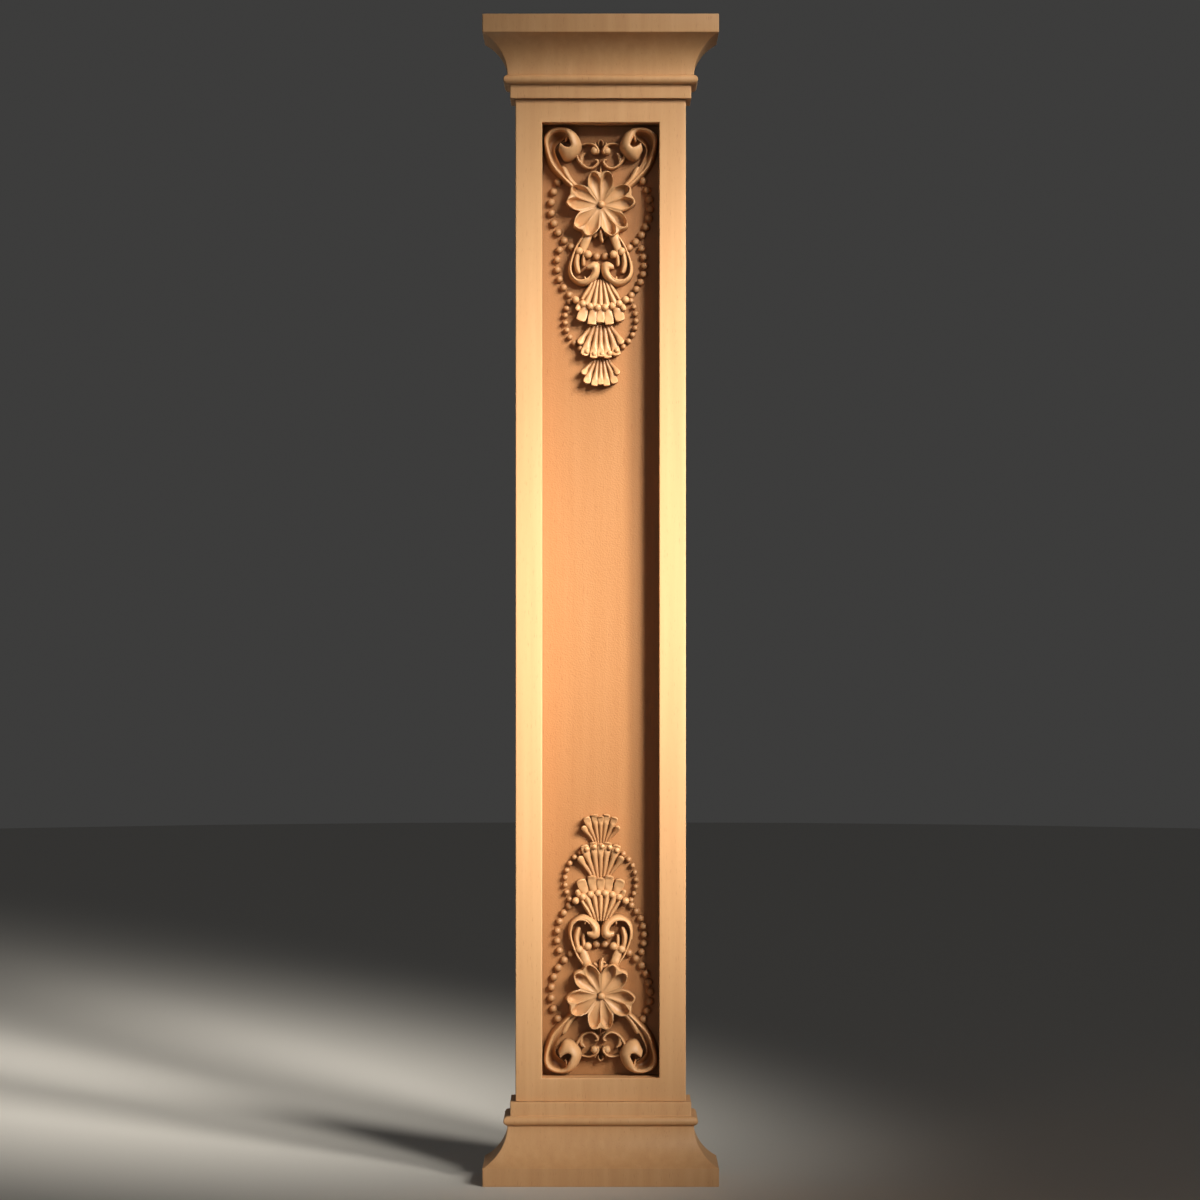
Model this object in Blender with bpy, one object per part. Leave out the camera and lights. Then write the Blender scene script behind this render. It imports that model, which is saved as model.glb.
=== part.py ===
"""Pilaster panel in carved wood.

A shaft with a sunk field carries two carved ornaments, each a scroll head, a five-petalled
flower, two curled leaves, three fans and three strings of beads. A moulded capital sits on
the shaft, and the same moulding, turned over, is its base.

Metres, +Z up. The front faces -Y and the back is one flat plane. The origin lies under the
middle of the base, on the surface that the pilaster stands on.
"""
import math

import bmesh
import bpy
import numpy as np

# Overall sizes
TOTAL_HEIGHT = 0.900
SHAFT_WIDTH = 0.132
BACK_THICKNESS = 0.014
FIELD_DEPTH = 0.021
JOINT_GAP = 0.0003

# Moulding of the capital and the base, from its outer end towards the shaft
FILLET_HEIGHT = 0.0140
FILLET_PROJECTION = 0.0248
CAVETTO_HEIGHT = 0.0300
CAVETTO_PROJECTION = 0.0062
ASTRAGAL_HEIGHT = 0.0080
ASTRAGAL_PROJECTION = 0.0092
FASCIA_HEIGHT = 0.0097
FASCIA_PROJECTION = 0.0041

# Sunk field in the front of the shaft
STILE_WIDTH = 0.02055
RAIL_HEIGHT = 0.0178
ORNAMENT_END_GAP = 0.0021
RELIEF_CLEARANCE = 0.0060

# The ornament is drawn on a grid of its own, in units of about a millimetre: u to the right
# of the axis, v above the flower's centre, h above the floor of the field.
DRAWN_WIDTH = 90.9
DRAWN_TOP = 60.3
DRAWN_LENGTH = 201.7
DRAWN_RELIEF = 15.0
ROOT_DEPTH = 0.0010
ROOT_STEP = 0.000008

# Curve fineness of the faceted solid
ARC_STEPS = 8
FINE_STEPS = 2
PLAIN_STEPS = 1
BEAD_SIDES = 5

# Sizes that follow
SHAFT_DEPTH = BACK_THICKNESS + FIELD_DEPTH
MOULDING_HEIGHT = FILLET_HEIGHT + CAVETTO_HEIGHT + ASTRAGAL_HEIGHT + FASCIA_HEIGHT
SHAFT_BOTTOM = MOULDING_HEIGHT + JOINT_GAP
SHAFT_TOP = TOTAL_HEIGHT - MOULDING_HEIGHT - JOINT_GAP
MIDDLE = TOTAL_HEIGHT / 2
BACK_Y = (SHAFT_DEPTH + FILLET_PROJECTION) / 2
FRONT_Y = BACK_Y - SHAFT_DEPTH
FLOOR_Y = FRONT_Y + FIELD_DEPTH
FIELD_WIDTH = SHAFT_WIDTH - 2 * STILE_WIDTH
FIELD_HALF_HEIGHT = (SHAFT_TOP - SHAFT_BOTTOM) / 2 - RAIL_HEIGHT
ORNAMENT_ROOM = FIELD_HALF_HEIGHT - 2 * ORNAMENT_END_GAP
UNIT = min(FIELD_WIDTH / DRAWN_WIDTH, ORNAMENT_ROOM / DRAWN_LENGTH)
RELIEF_UNIT = (FIELD_DEPTH - RELIEF_CLEARANCE) / DRAWN_RELIEF
FLOWER_HEIGHT = FIELD_HALF_HEIGHT - ORNAMENT_END_GAP - DRAWN_TOP * UNIT

# Cross sections of carved bands: place across (-1 to 1) and share of the band's height.
# ROOT stands for the foot that is sunk in the floor.
ROOT = -1.0
CHANNEL = ((-1.0, ROOT), (-0.80, 1.0), (0.0, 0.62), (0.80, 1.0), (1.0, ROOT))
RIDGE = ((-1.0, ROOT), (-0.55, 1.0), (0.55, 1.0), (1.0, ROOT))

# Left half of the ornament: bands as rows of u, v, half width and height
SCROLL = (
    (-21.5, 17.5, 2.3, 8.0), (-27.0, 22.6, 2.6, 9.0), (-32.0, 28.8, 2.9, 10.0),
    (-36.2, 35.8, 3.3, 10.5), (-38.6, 43.0, 3.9, 11.0), (-38.4, 50.0, 4.6, 11.5),
    (-34.5, 54.7, 5.2, 12.5), (-28.5, 54.6, 5.2, 14.0), (-22.6, 50.6, 4.8, 15.0),
    (-19.9, 44.4, 4.6, 15.0), (-22.4, 38.9, 3.8, 14.5), (-27.6, 38.2, 2.4, 14.0),
)
SPUR = ((-28.8, 31.6, 0.5, 8.0), (-26.6, 27.0, 1.5, 9.0), (-21.5, 20.2, 1.3, 8.0))
UPPER_CURL = ((-15.0, 48.6, 1.1, 6.0), (-10.7, 49.6, 1.2, 6.0), (-6.6, 48.2, 1.2, 6.5))
LOWER_CURL = (
    (-19.6, 38.0, 1.2, 6.0), (-16.2, 33.6, 1.2, 6.0), (-9.4, 30.0, 1.3, 6.0),
    (-4.4, 31.4, 1.3, 6.0), (-2.7, 34.6, 1.2, 6.0), (-4.4, 36.4, 1.0, 6.0),
)
LEAF_RIM = (
    (-13.0, -27.5, 1.2, 8.5), (-17.6, -32.6, 1.2, 9.0), (-21.2, -38.4, 1.2, 9.5),
    (-22.8, -46.0, 1.2, 10.0), (-21.3, -53.4, 1.3, 10.0), (-16.8, -57.0, 1.6, 10.0),
    (-11.6, -57.7, 2.1, 10.0), (-7.4, -54.8, 2.9, 10.5), (-4.4, -50.2, 3.3, 11.0),
    (-5.6, -46.6, 2.5, 11.0), (-8.8, -47.4, 1.0, 10.0),
)
LEAF_BELLY = (
    (-22.6, -50.0, 1.6, 4.0), (-18.6, -58.6, 2.4, 5.0), (-12.0, -60.6, 2.8, 6.0),
    (-6.6, -58.0, 2.6, 6.0),
)
LEAF_STEM = ((-9.6, -21.5, 3.2, 9.5), (-11.2, -27.0, 3.6, 9.5), (-13.2, -33.0, 3.2, 9.0))
LEAF_FINGERS = (
    ((-14.5, -33.0, 2.0, 9.0), (-17.2, -39.0, 2.1, 8.5), (-16.9, -45.5, 2.1, 8.0),
     (-14.8, -51.6, 1.2, 7.0)),
    ((-12.0, -34.0, 1.8, 8.5), (-12.7, -41.0, 1.7, 8.0), (-12.4, -46.4, 1.0, 7.0)),
)
SIDE_BANDS = (
    (SCROLL, CHANNEL, FINE_STEPS), (SPUR, RIDGE, PLAIN_STEPS),
    (UPPER_CURL, RIDGE, PLAIN_STEPS), (LOWER_CURL, RIDGE, FINE_STEPS),
    (LEAF_RIM, RIDGE, FINE_STEPS), (LEAF_BELLY, RIDGE, PLAIN_STEPS),
    (LEAF_STEM, RIDGE, PLAIN_STEPS), (LEAF_FINGERS[0], RIDGE, PLAIN_STEPS),
    (LEAF_FINGERS[1], RIDGE, PLAIN_STEPS),
)
CENTRE_BANDS = (
    ((0.0, 33.0, 0.6, 5.0), (0.0, 28.5, 1.2, 6.0), (0.0, 22.0, 1.6, 9.0)),
    ((0.0, -19.5, 1.6, 8.0), (0.0, -24.0, 1.9, 7.0), (0.0, -28.5, 0.7, 6.0)),
)

# Flower: five petals, each with two scooped lobes, each lapped a little over the last one
PETAL_COUNT = 5
PETAL_REACH = 25.7
PETAL_NOTCH = 23.4
PETAL_HALF_WIDTH = 9.8
PETAL_ROOT_HALF_WIDTH = 2.4
PETAL_START = 3.0
PETAL_HEIGHTS = (6.5, 13.0)
PETAL_SCOOP = 4.5
PETAL_LAP = 0.2
LOBE_ROUNDING = 0.75
PETAL_LENGTHS = (0.0, 0.4, 0.8, 1.0)
PETAL_BREADTHS = (-1.0, -0.78, -0.5, 0.0, 0.5, 0.78, 1.0)
BOSS_RADIUS = 3.2
BOSS_HEIGHT = 10.5

# Small round knobs: u, v, radius, height
KNOBS = ((-3.9, 45.0, 2.6, 7.5), (3.9, 45.0, 2.6, 7.5), (0.0, 50.2, 2.6, 6.0))

# Fans: v of the apex, length of the longest rib, half angle of the fan in degrees,
# and height at the apex and at the end. Each rib's stations give the share of its length,
# of the fan's rise, and its half width as a share of the space between ribs.
FANS = (
    (-54.3, 39.7, 37.0, 5.0, 9.0),
    (-82.4, 37.3, 30.6, 3.5, 8.5),
    (-107.4, 34.6, 28.3, 3.0, 8.0),
)
RIB_LENGTHS = (0.93, 1.00, 0.97, 0.81)
RIB_ANGLES = (0.0, 0.278, 0.611, 1.0)
RIB_STATIONS = ((0.08, 0.0, 0.09), (0.95, 1.0, 0.45), (1.0, 1.0, 0.34))

# Strings of beads: v of the ring's centre, ring radius, bead radius, half of the open angle
# at the top in degrees, number of beads, and how far the lowest beads ride up on a fan
BEAD_RINGS = (
    (-0.4, 38.6, 2.8, 59.3, 22, 0.0),
    (-45.4, 34.6, 2.6, 69.0, 20, 5.5),
    (-87.2, 27.5, 2.0, 62.0, 20, 4.0),
)
BEAD_HEIGHT = 4.5
KNOB_CROWN = 0.62
RIDE_HALF_ANGLE = 42.0


def clear_scene():
    for old in list(bpy.data.objects):
        bpy.data.objects.remove(old, do_unlink=True)


def wood(name, colour, roughness):
    """Satin-finished wood in one colour."""
    material = bpy.data.materials.new(name)
    material.use_nodes = True
    shader = material.node_tree.nodes["Principled BSDF"]
    shader.inputs["Base Color"].default_value = (*colour, 1.0)
    shader.inputs["Roughness"].default_value = roughness
    shader.inputs["Metallic"].default_value = 0.0
    return material


def object_from(mesh, name, material=None):
    """Turn a bmesh into a named object with its faces pointing outwards."""
    bmesh.ops.recalc_face_normals(mesh, faces=mesh.faces)
    data = bpy.data.meshes.new(name)
    mesh.to_mesh(data)
    mesh.free()
    if material:
        data.materials.append(material)
    made = bpy.data.objects.new(name, data)
    bpy.context.collection.objects.link(made)
    return made


def box(name, low, high, material=None):
    mesh = bmesh.new()
    bmesh.ops.create_cube(mesh, size=1.0)
    for vertex in mesh.verts:
        vertex.co = [(a + b) / 2 + c * (b - a) for a, b, c in zip(low, high, vertex.co)]
    return object_from(mesh, name, material)


def as_guide(guide):
    """A solid that only cuts or is joined into another one."""
    guide.hide_render = True
    guide.display_type = "WIRE"
    return guide


def moulding_profile():
    """Projection from the shaft and distance from the outer end, from that end inwards."""
    points = [(FILLET_PROJECTION, 0.0), (FILLET_PROJECTION, FILLET_HEIGHT)]
    hollow = FILLET_PROJECTION - CAVETTO_PROJECTION
    radius = (hollow ** 2 + CAVETTO_HEIGHT ** 2) / (2 * hollow)
    sweep = math.asin(CAVETTO_HEIGHT / radius)
    for step in range(ARC_STEPS + 1):
        angle = sweep * (1 - step / ARC_STEPS)
        points.append((CAVETTO_PROJECTION + radius * (1 - math.cos(angle)),
                       FILLET_HEIGHT + CAVETTO_HEIGHT - radius * math.sin(angle)))
    half = ASTRAGAL_HEIGHT / 2
    middle = FILLET_HEIGHT + CAVETTO_HEIGHT + half
    for step in range(ARC_STEPS + 1):
        angle = math.pi * step / ARC_STEPS
        points.append((ASTRAGAL_PROJECTION - half + half * math.sin(angle),
                       middle - half * math.cos(angle)))
    points.append((FASCIA_PROJECTION, middle + half))
    points.append((FASCIA_PROJECTION, MOULDING_HEIGHT))
    return [p for i, p in enumerate(points) if i == 0 or math.dist(p, points[i - 1]) > 1e-6]


def moulding(name, end_z, inward, material):
    """Carry the profile round the front and both sides; the back stays flat."""
    mesh = bmesh.new()
    rings = []
    for projection, distance in moulding_profile():
        side = SHAFT_WIDTH / 2 + projection
        front = FRONT_Y - projection
        z = end_z + inward * distance
        corners = ((-side, BACK_Y), (-side, front), (side, front), (side, BACK_Y))
        rings.append([mesh.verts.new((x, y, z)) for x, y in corners])
    for above, below in zip(rings, rings[1:]):
        for corner in range(3):
            mesh.faces.new((above[corner], above[corner + 1], below[corner + 1], below[corner]))
    mesh.faces.new(rings[0])
    mesh.faces.new(rings[-1])
    mesh.faces.new([ring[0] for ring in rings] + [ring[3] for ring in reversed(rings)])
    return object_from(mesh, name, material)


def smooth(points, steps):
    """Rows of a smooth curve that passes through the points (Catmull-Rom)."""
    rows = np.array(points, dtype=float)
    rows = np.vstack([2 * rows[0] - rows[1], rows, 2 * rows[-1] - rows[-2]])
    curve = []
    for before, start, end, after in zip(rows, rows[1:], rows[2:], rows[3:]):
        for t in np.arange(steps) / steps:
            curve.append(0.5 * (2 * start + (end - before) * t
                                + (2 * before - 5 * start + 4 * end - after) * t ** 2
                                + (3 * start - before - 3 * end + after) * t ** 3))
    curve.append(rows[-2])
    return np.array(curve)


class Carving:
    """Closed forms that grow out of the floor of the field.

    turn is 1 for the upper ornament and -1 for the lower one, which is the same turned over.
    Each form is rooted a little deeper than the one before, so no two feet share a plane.
    """

    def __init__(self):
        self.mesh = bmesh.new()
        self.turn = 1
        self.root = ROOT_DEPTH

    def vertex(self, u, v, h):
        y = FLOOR_Y + self.root if h == ROOT else FLOOR_Y - h * RELIEF_UNIT
        z = MIDDLE + self.turn * (FLOWER_HEIGHT + v * UNIT)
        return self.mesh.verts.new((u * UNIT, y, z))

    def next_form(self):
        self.root += ROOT_STEP

    def close_rows(self, rows):
        """Join rows of vertices into a closed band: each row is one whole cross section."""
        for first, second in zip(rows, rows[1:]):
            for i, corner in enumerate(first):
                j = (i + 1) % len(first)
                self.mesh.faces.new((corner, first[j], second[j], second[i]))
        self.mesh.faces.new(rows[0])
        self.mesh.faces.new(rows[-1])

    def band(self, points, section, steps, mirror=1):
        """Carry a cross section along a smooth path; mirror -1 puts it on the right."""
        self.next_form()
        curve = smooth(points, steps)
        along = np.gradient(curve[:, :2], axis=0)
        along /= np.linalg.norm(along, axis=1)[:, None]
        rows = []
        for (u, v, half_width, height), (du, dv) in zip(curve, along):
            row = []
            for across, share in section:
                shift = across * half_width
                h = ROOT if share == ROOT else share * height
                row.append(self.vertex(mirror * (u - dv * shift), v + du * shift, h))
            rows.append(row)
        self.close_rows(rows)

    def knob(self, u, v, radius, height):
        """Low round knob: a foot, a narrower top and a flat crown."""
        self.next_form()
        angles = 2 * np.pi * np.arange(BEAD_SIDES) / BEAD_SIDES
        self.close_rows([[self.vertex(u + r * math.cos(a), v + r * math.sin(a), h)
                          for a in angles]
                         for r, h in ((radius, ROOT), (KNOB_CROWN * radius, height))])

    def petal(self, angle, lift):
        """One petal: its curved top on a wall that goes down into the floor."""
        self.next_form()
        last, end = len(PETAL_LENGTHS) - 1, len(PETAL_BREADTHS) - 1
        edge = ([(0, j) for j in range(end)] + [(i, end) for i in range(last)]
                + [(last, j) for j in range(end, 0, -1)] + [(i, 0) for i in range(last, 0, -1)])
        top, foot = {}, {}
        for i, s in enumerate(PETAL_LENGTHS):
            for j, t in enumerate(PETAL_BREADTHS):
                length, breadth, height = petal_surface(s, t)
                u = length * math.cos(angle) - breadth * math.sin(angle)
                v = length * math.sin(angle) + breadth * math.cos(angle)
                top[i, j] = self.vertex(u, v, height + lift)
                if (i, j) in edge:
                    foot[i, j] = self.vertex(u, v, ROOT)
        for i in range(last):
            for j in range(end):
                self.mesh.faces.new((top[i, j], top[i, j + 1], top[i + 1, j + 1], top[i + 1, j]))
        for here, there in zip(edge, edge[1:] + edge[:1]):
            self.mesh.faces.new((top[here], top[there], foot[there], foot[here]))
        self.mesh.faces.new([foot[place] for place in edge])

    def fan(self, apex, length, half_angle, start_height, end_height):
        """Seven ribs that spread from one point, with scalloped ends."""
        pitch = math.radians(half_angle) / 3
        for rib in range(-3, 4):
            angle = math.copysign(RIB_ANGLES[abs(rib)] * math.radians(half_angle), rib)
            reach = length * RIB_LENGTHS[abs(rib)]
            points = []
            for along, rise, fill in RIB_STATIONS:
                r = along * reach
                points.append((r * math.sin(angle), apex - r * math.cos(angle),
                               fill * pitch * reach,
                               start_height + (end_height - start_height) * rise))
            self.band(points, RIDGE, PLAIN_STEPS)

    def bead_ring(self, centre, ring_radius, bead_radius, open_angle, count, ride):
        """Beads at equal spaces round a ring that is open at the top."""
        first, last = math.radians(90 + open_angle), math.radians(450 - open_angle)
        for angle in np.linspace(first, last, count):
            from_bottom = abs(math.degrees(angle) - 270) / RIDE_HALF_ANGLE
            lift = ride * math.cos(min(1.0, from_bottom) * math.pi / 2)
            self.knob(ring_radius * math.cos(angle), centre + ring_radius * math.sin(angle),
                      bead_radius, BEAD_HEIGHT + lift)


def petal_surface(s, t):
    """Length, breadth and height of a petal at s (root to tip) and t (-1 to 1 across).

    The tip is two round lobes with a notch between them. The rim and the middle ridge rise
    from the root to the tip, and a scoop lies on each side of the ridge.
    """
    across = abs(t)
    if across < 0.5:
        reach = PETAL_NOTCH + (PETAL_REACH - PETAL_NOTCH) * math.sin(math.pi * across)
    else:
        reach = PETAL_REACH * math.sqrt(1 - (LOBE_ROUNDING * (across - 0.5) / 0.5) ** 2)
    length = PETAL_START + (reach - PETAL_START) * s
    spread = math.sin(min(1.0, s / 0.85) * math.pi / 2)
    breadth = t * (PETAL_ROOT_HALF_WIDTH + (PETAL_HALF_WIDTH - PETAL_ROOT_HALF_WIDTH) * spread)
    rim = PETAL_HEIGHTS[0] + (PETAL_HEIGHTS[1] - PETAL_HEIGHTS[0]) * s
    scoop = PETAL_SCOOP * math.sin(math.pi * across) * math.sqrt(s) * (1 - s ** 4)
    return length, breadth, rim - scoop


def carve_ornament(carving, turn):
    """All the forms of one ornament."""
    carving.turn = turn
    for mirror in (1, -1):
        for points, section, steps in SIDE_BANDS:
            carving.band(points, section, steps, mirror)
    for points in CENTRE_BANDS:
        carving.band(points, RIDGE, PLAIN_STEPS)
    for petal in range(PETAL_COUNT):
        carving.petal(math.radians(90 + 360 * petal / PETAL_COUNT), petal * PETAL_LAP)
    carving.knob(0.0, 0.0, BOSS_RADIUS, BOSS_HEIGHT)
    for knob in KNOBS:
        carving.knob(*knob)
    for fan in FANS:
        carving.fan(*fan)
    for ring in BEAD_RINGS:
        carving.bead_ring(*ring)


def carve(body, tool, operation):
    modifier = body.modifiers.new(tool.name, "BOOLEAN")
    modifier.operation = operation
    modifier.object = tool
    modifier.solver = "EXACT"
    modifier.use_self = operation == "UNION"


def shaft(material):
    """The board with its sunk field, and the two ornaments left standing in it."""
    half = SHAFT_WIDTH / 2
    body = box("shaft", (-half, FRONT_Y, SHAFT_BOTTOM), (half, BACK_Y, SHAFT_TOP), material)
    over = FIELD_DEPTH / 2
    field = box("field_cutter",
                (-FIELD_WIDTH / 2, FRONT_Y - over, MIDDLE - FIELD_HALF_HEIGHT),
                (FIELD_WIDTH / 2, FLOOR_Y, MIDDLE + FIELD_HALF_HEIGHT))
    carve(body, as_guide(field), "DIFFERENCE")
    carving = Carving()
    carve_ornament(carving, 1)
    carve_ornament(carving, -1)
    bmesh.ops.triangulate(carving.mesh, faces=carving.mesh.faces)
    carve(body, as_guide(object_from(carving.mesh, "ornaments")), "UNION")
    return body


def main():
    clear_scene()
    finish = wood("satin_wood", (0.60, 0.37, 0.20), 0.48)
    moulding("base", 0.0, 1, finish)
    shaft(finish)
    moulding("capital", TOTAL_HEIGHT, -1, finish)


main()
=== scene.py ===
"""Looks of the carved pilaster: a satin hardwood shaft, capital and base.

Every form is a surface worked out from two parameters. The ornament is drawn in units of
about a millimetre: u to the right of the axis, v above the flower's centre, and h above the
floor of the sunk field. It stands head up at the top of the shaft and head down at its foot.
"""
import math

import bpy
import numpy as np
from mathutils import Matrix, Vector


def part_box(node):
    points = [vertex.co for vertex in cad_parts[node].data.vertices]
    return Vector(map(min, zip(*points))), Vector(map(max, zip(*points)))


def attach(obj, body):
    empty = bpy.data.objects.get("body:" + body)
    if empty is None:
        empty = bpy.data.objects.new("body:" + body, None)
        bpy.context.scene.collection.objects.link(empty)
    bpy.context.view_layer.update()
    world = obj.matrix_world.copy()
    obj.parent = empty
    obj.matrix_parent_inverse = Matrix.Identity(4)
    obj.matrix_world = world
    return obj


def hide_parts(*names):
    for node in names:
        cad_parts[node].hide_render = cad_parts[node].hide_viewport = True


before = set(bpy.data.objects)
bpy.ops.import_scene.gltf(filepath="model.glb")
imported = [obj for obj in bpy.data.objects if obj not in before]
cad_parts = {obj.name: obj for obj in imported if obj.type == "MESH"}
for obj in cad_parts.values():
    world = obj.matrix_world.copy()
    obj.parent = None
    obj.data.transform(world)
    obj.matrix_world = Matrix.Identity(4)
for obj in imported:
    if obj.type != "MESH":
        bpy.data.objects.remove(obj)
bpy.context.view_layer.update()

# Shaft and sunk field, in metres
SHAFT_LOW, SHAFT_HIGH = (np.array(corner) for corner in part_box("shaft"))
SHAFT_WIDTH = SHAFT_HIGH[0] - SHAFT_LOW[0]
TOTAL_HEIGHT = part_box("capital")[1][2]
MIDDLE = TOTAL_HEIGHT / 2
FRONT_Y, BACK_Y = SHAFT_LOW[1], SHAFT_HIGH[1]
FIELD_DEPTH = 0.021
STILE_WIDTH = 0.02055
RAIL_HEIGHT = 0.0178
FLOOR_Y = FRONT_Y + FIELD_DEPTH
FIELD_HALF_WIDTH = SHAFT_WIDTH / 2 - STILE_WIDTH
FIELD_HALF_HEIGHT = (SHAFT_HIGH[2] - SHAFT_LOW[2]) / 2 - RAIL_HEIGHT
ARRIS_RADIUS = 0.0009
# Painted shade in the depth: the base colour darkens towards the ground of the field, where
# shade falls. How far above the ground it reaches, in metres, and its colour on the open
# ground and in the recesses of the carving
PAINTED_SHADE_REACH = 0.010
GROUND_PAINTED_SHADE = "#C9B7A4"
RECESS_PAINTED_SHADE = "#A08870"
# Strength of the punched ground and of the dark flecks
STIPPLE_STRENGTH = 0.6
FLECK_STRENGTH = 0.35

# Moulding of the capital and the base, from its outer end towards the shaft, in metres
FILLET_HEIGHT = 0.0140
FILLET_PROJECTION = 0.0248
CAVETTO_HEIGHT = 0.0300
CAVETTO_PROJECTION = 0.0062
ASTRAGAL_HEIGHT = 0.0070
ASTRAGAL_PROJECTION = 0.0092
FASCIA_HEIGHT = 0.0107
FASCIA_PROJECTION = 0.0041
MOULDING_ARRIS = 0.0005
# How far the outline starts and stops inside the fillet's and the fascia's fronts
OUTER_END_INSET = 0.020
INNER_END_INSET = 0.003
# Rounding of a corner: the largest share of a side that an arc takes, and the half angle in
# degrees from which a corner counts as straight
ARC_SHARE = 0.45
STRAIGHT_HALF_ANGLE = 80
# Edges that turn more than this many degrees are shaded sharp
SHARP_ANGLE = 42

# Drawing grid of the ornament: the field's width, the top edge above the flower's centre
# and the height of the relief in drawing units, then the gap to the field's end and the
# height of the relief in metres
DRAWN_WIDTH = 90.9
DRAWN_TOP = 60.3
DRAWN_RELIEF = 15.0
ORNAMENT_END_GAP = 0.0021
RELIEF_HEIGHT = 0.015
UNIT = 2 * FIELD_HALF_WIDTH / DRAWN_WIDTH
RELIEF_UNIT = RELIEF_HEIGHT / DRAWN_RELIEF
FLOWER_HEIGHT = FIELD_HALF_HEIGHT - ORNAMENT_END_GAP - DRAWN_TOP * UNIT
# Undersides of the carved forms, below the floor of the field
ROOT = -0.8
# What is left of a strap's half width and height at a rounded end
CAP_WIDTH = 0.03
CAP_HEIGHT = 0.8


def linear(code):
    """An sRGB hex colour as linear red, green, blue and alpha."""
    parts = [int(code[i:i + 2], 16) / 255 for i in (1, 3, 5)]
    return [c / 12.92 if c <= 0.04045 else ((c + 0.055) / 1.055) ** 2.4 for c in parts] + [1.0]


def add_node(tree, kind, settings=None, **links):
    """One node with its settings; an input takes a value, or a (node, output) to link."""
    node = tree.nodes.new(kind)
    for name, value in (settings or {}).items():
        setattr(node, name, value)
    for name, value in links.items():
        socket = node.inputs[int(name[1:])] if name[1:].isdigit() else node.inputs[
            name.replace("_", " ")]
        if isinstance(value, tuple) and len(value) == 2 and hasattr(value[0], "outputs"):
            tree.links.new(value[0].outputs[value[1]], socket)
        else:
            socket.default_value = value
    return node


def ramp(tree, factor, stops):
    """A colour ramp through (place, hex colour) stops."""
    node = add_node(tree, "ShaderNodeValToRGB", Fac=factor)
    elements = node.color_ramp.elements
    while len(elements) < len(stops):
        elements.new(0.5)
    for element, (place, code) in zip(elements, stops):
        element.position = place
        element.color = linear(code)
    return node


def satin_beech(name, stipple=0.0, painted_shade=None):
    """Steamed beech, sanded, stained honey and finished with a satin varnish.

    The eye gets an even tan with faint streaks along the length, short dark flecks a few
    millimetres long, and a soft broad shine. stipple is the strength of the fine punched
    texture that the ground of the field keeps. The last argument is the colour of painted
    shade: the base colour is darkened by it towards the ground, where shade falls in the depth.
    """
    material = bpy.data.materials.new(name)
    material.use_nodes = True
    tree = material.node_tree
    shader = tree.nodes["Principled BSDF"]
    place = add_node(tree, "ShaderNodeTexCoord")
    # Streaks: about 8 mm wide and 200 mm long
    along = add_node(tree, "ShaderNodeMapping", Vector=(place, "Object"), Scale=(125, 125, 5))
    streaks = add_node(tree, "ShaderNodeTexNoise", Vector=(along, 0), Scale=1.0, Detail=5.0,
                       Roughness=0.6)
    # Flecks: about 0.6 mm wide and 6 mm long
    short = add_node(tree, "ShaderNodeMapping", Vector=(place, "Object"),
                     Scale=(1600, 1600, 160))
    flecks = add_node(tree, "ShaderNodeTexNoise", Vector=(short, 0), Scale=1.0, Detail=2.0)
    tone = ramp(tree, (streaks, 0), ((0.30, "#CC9C6E"), (0.52, "#D1A273"), (0.72, "#D6A87A")))
    fleck = ramp(tree, (flecks, 0), ((0.26, "#B98A5E"), (0.36, "#FFFFFF")))
    colour = add_node(tree, "ShaderNodeMix", {"data_type": "RGBA", "blend_type": "MULTIPLY"},
                      _0=FLECK_STRENGTH, _6=(tone, 0), _7=(fleck, 0))
    # Painted shade: the colour is darkened towards the ground of the field, where shade falls
    if painted_shade:
        axes = add_node(tree, "ShaderNodeSeparateXYZ", Vector=(place, "Object"))
        depth = add_node(tree, "ShaderNodeMapRange", {"interpolation_type": "SMOOTHSTEP"},
                         Value=(axes, 1), From_Min=FLOOR_Y - PAINTED_SHADE_REACH, From_Max=FLOOR_Y)
        darker = ramp(tree, (depth, 0), ((0.0, "#FFFFFF"), (1.0, painted_shade)))
        colour = add_node(tree, "ShaderNodeMix", {"data_type": "RGBA",
                                                  "blend_type": "MULTIPLY"},
                          _0=1.0, _6=(colour, 2), _7=(darker, 0))
    tree.links.new(colour.outputs[2], shader.inputs["Base Color"])
    sheen = add_node(tree, "ShaderNodeMapRange", Value=(streaks, 0), To_Min=0.40, To_Max=0.50)
    tree.links.new(sheen.outputs[0], shader.inputs["Roughness"])
    grain = add_node(tree, "ShaderNodeBump", Strength=0.06, Distance=0.0002,
                     Height=(flecks, 0))
    if stipple:
        # Punched ground: dots about 1.1 mm apart
        dots = add_node(tree, "ShaderNodeTexNoise", Vector=(place, "Object"), Scale=900.0,
                        Detail=1.5)
        grain = add_node(tree, "ShaderNodeBump", Strength=stipple, Distance=0.0003,
                         Height=(dots, 0), Normal=(grain, 0))
    tree.links.new(grain.outputs[0], shader.inputs["Normal"])
    shader.inputs["IOR"].default_value = 1.5
    return material


def piece(name, points, faces, flat, material, replaced):
    """A mesh object; faces whose index is in flat keep a flat shade."""
    data = bpy.data.meshes.new(name)
    data.from_pydata(points, [], faces)
    smooth = np.ones(len(data.polygons), dtype=bool)
    smooth[list(flat)] = False
    data.polygons.foreach_set("use_smooth", smooth)
    data.set_sharp_from_angle(angle=math.radians(SHARP_ANGLE))
    data.materials.append(material)
    data.validate()
    made = bpy.data.objects.new(name, data)
    bpy.context.scene.collection.objects.link(made)
    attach(made, "root")
    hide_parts(replaced)
    return made


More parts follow.
